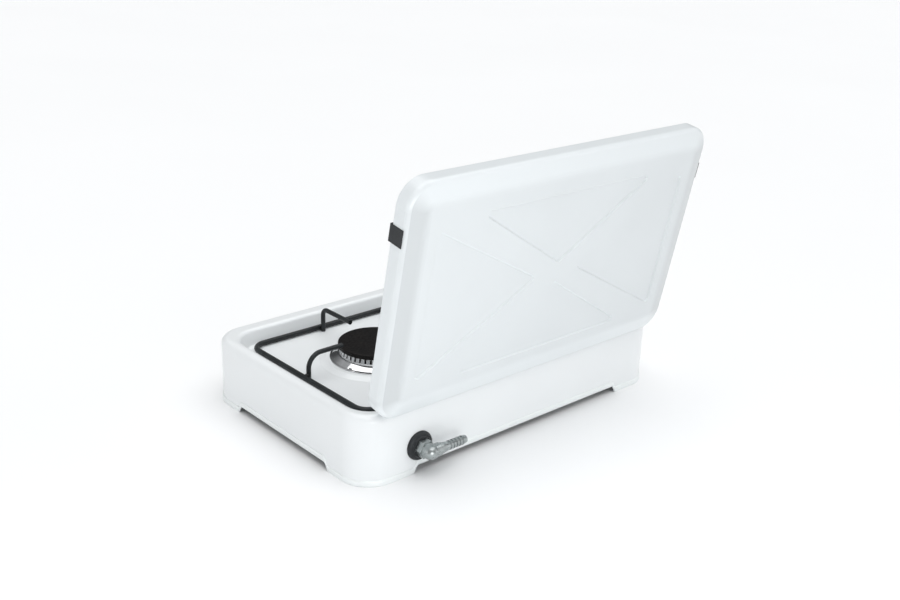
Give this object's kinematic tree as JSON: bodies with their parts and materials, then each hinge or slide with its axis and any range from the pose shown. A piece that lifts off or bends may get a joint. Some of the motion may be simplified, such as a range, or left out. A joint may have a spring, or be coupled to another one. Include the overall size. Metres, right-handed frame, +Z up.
{
  "type": "camping stove",
  "caption": "Low enamelled gas stove with two burners in a sunken hob, a wire pan support, front knobs, a rear hose inlet and a hinged lid that leans back.",
  "frame": {"origin": "on the ground, in the middle of the space that the stove takes with its lid open", "axes": "+Z up; +Y towards the hinge and the gas inlet; -Y towards the knobs; +X towards the gas inlet's end"},
  "size_m": [0.5, 0.4045, 0.3692],
  "materials": {
    "white_enamel": "gloss vitreous enamel",
    "black_enamel": "semi-gloss enamel",
    "cap_enamel": "satin enamel",
    "cast_aluminium": "as cast and turned",
    "polished_steel": "polished",
    "zinc_plated": "zinc plated",
    "brass": "turned",
    "steel": "plain",
    "black_plastic": "satin",
    "knob_plastic": "satin"
  },
  "bodies": {
    "stove": {"body_shell": "white_enamel", "gas_pipe": "steel", "pipe_plug": "steel", "inlet_nipple": "zinc_plated", "inlet_lock_nut": "zinc_plated", "inlet_bush": "black_plastic", "inlet_elbow": "zinc_plated", "hose_tail": "zinc_plated", "burner_cup_left": "cast_aluminium", "burner_crown_left": "cast_aluminium", "burner_ring_left": "polished_steel", "burner_screws_left": "zinc_plated", "mixing_tube_left": "steel", "tap_body_left": "brass", "tap_nut_left": "zinc_plated", "jet_left": "brass", "hinge_bracket_left": "steel", "hinge_pin_left": "steel", "burner_cup_right": "cast_aluminium", "burner_crown_right": "cast_aluminium", "burner_ring_right": "polished_steel", "burner_screws_right": "zinc_plated", "mixing_tube_right": "steel", "tap_body_right": "brass", "tap_nut_right": "zinc_plated", "jet_right": "brass", "hinge_bracket_right": "steel", "hinge_pin_right": "steel"},
    "lid": {"lid_shell": "white_enamel", "lid_buffer_left": "black_plastic", "lid_buffer_right": "black_plastic", "hinge_leaf_left": "steel", "hinge_leaf_right": "steel"},
    "pan_support": {"grate_frame": "black_enamel", "grate_cross_wire": "black_enamel", "grate_fingers_left": "black_enamel", "grate_fingers_right": "black_enamel"},
    "burner_cap_left": {"burner_cap_left": "cap_enamel"},
    "tap_plug_left": {"tap_plug_left": "brass"},
    "knob_left": {"knob_left": "knob_plastic", "tap_stem_left": "steel"},
    "burner_cap_right": {"burner_cap_right": "cap_enamel"},
    "tap_plug_right": {"tap_plug_right": "brass"},
    "knob_right": {"knob_right": "knob_plastic", "tap_stem_right": "steel"}
  },
  "joints": [
    {"name": "lid_hinge", "type": "hinge", "parent": "stove", "child": "lid", "pos_m": [0, 0.1305, 0.0882], "axis": [1, 0, 0], "range_deg": [0, 100]},
    {"name": "pan_support_lift", "type": "slide", "parent": "stove", "child": "pan_support", "axis": [0, 0, 1], "range_m": [0, 0.15]},
    {"name": "burner_cap_left_lift", "type": "slide", "parent": "stove", "child": "burner_cap_left", "axis": [0, 0, 1], "range_m": [0, 0.15]},
    {"name": "tap_left_turn", "type": "hinge", "parent": "stove", "child": "tap_plug_left", "pos_m": [-0.106, -0.178, 0.046], "axis": [0, -1, 0], "range_deg": [0, 180]},
    {"name": "knob_left_push", "type": "slide", "parent": "tap_plug_left", "child": "knob_left", "axis": [0, 1, 0], "range_m": [0, 0.003], "stiffness_N_per_m": 800, "springref_m": -0.004},
    {"name": "burner_cap_right_lift", "type": "slide", "parent": "stove", "child": "burner_cap_right", "axis": [0, 0, 1], "range_m": [0, 0.15]},
    {"name": "tap_right_turn", "type": "hinge", "parent": "stove", "child": "tap_plug_right", "pos_m": [0.106, -0.178, 0.046], "axis": [0, -1, 0], "range_deg": [0, 180]},
    {"name": "knob_right_push", "type": "slide", "parent": "tap_plug_right", "child": "knob_right", "axis": [0, 1, 0], "range_m": [0, 0.003], "stiffness_N_per_m": 800, "springref_m": -0.004}
  ]
}
